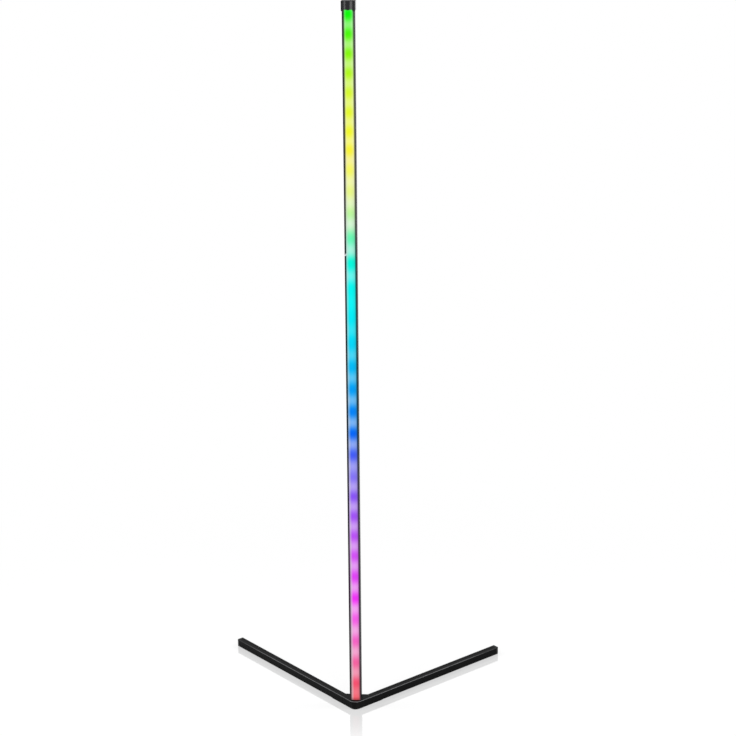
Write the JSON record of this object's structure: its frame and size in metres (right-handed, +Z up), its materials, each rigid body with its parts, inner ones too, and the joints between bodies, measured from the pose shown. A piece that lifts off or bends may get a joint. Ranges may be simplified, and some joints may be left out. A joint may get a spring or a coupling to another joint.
{
  "type": "corner floor lamp",
  "caption": "Slim corner floor lamp: a black channel pole with a milky light sleeve down its front, on a cast corner with two square legs that follow the walls.",
  "frame": {"origin": "on the floor, under the middle of the pole, where the corner pad rests", "axes": "+Z up along the pole; the light faces -Y, into the corner of the room; the legs run back from the corner towards +Y, one to -X and one to +X"},
  "size_m": [0.5562, 0.2852, 1.4],
  "materials": {
    "cast_black": "satin black powder coat over zinc",
    "steel_black": "satin black powder coat over steel tube",
    "anodised_black": "satin black anodised extrusion",
    "bare_aluminium": "sawn and bare",
    "zinc_steel": "zinc plated",
    "cover_steel": "black coated sheet",
    "black_rubber": "matte",
    "black_plastic": "soft gloss",
    "plug_plastic": "fine texture",
    "milky_silicone": "milky, lit from inside by a rainbow of colours",
    "strip_film": "white film",
    "led_package": "white package with a clear window",
    "chip_black": "moulded",
    "inlet_plastic": "moulded with a fine thread",
    "brass_contact": "bright",
    "nut_metal": "plated",
    "board_green": "solder mask",
    "board_part": "moulded, with one bright can",
    "wire_skin": "red and black insulation",
    "wire_pale": "thin insulation"
  },
  "bodies": {
    "root": {"corner_hub": "cast_black", "hub_cover": "cover_steel", "cover_screws": "zinc_steel", "pole_screws": "zinc_steel", "foot_gasket": "black_rubber", "leg_left": "steel_black", "leg_right": "steel_black", "leg_screws": "zinc_steel", "plug_left": "plug_plastic", "plug_right": "plug_plastic", "pad_corner": "black_rubber", "pads_arm": "black_rubber", "pad_left": "black_rubber", "pad_right": "black_rubber", "pole_lower": "anodised_black", "pole_middle": "anodised_black", "pole_upper": "anodised_black", "splice_lower": "bare_aluminium", "splice_upper": "bare_aluminium", "splice_screws": "zinc_steel", "light_sleeve": "milky_silicone", "led_strip": "strip_film", "led_lights": "led_package", "led_chips": "chip_black", "top_cap": "black_plastic", "cap_screws": "zinc_steel", "dc_inlet": "inlet_plastic", "dc_pin": "brass_contact", "dc_nut": "nut_metal", "controller_board": "board_green", "board_parts": "board_part", "supply_wires": "wire_skin", "strip_wires": "wire_pale"}
  },
  "joints": []
}
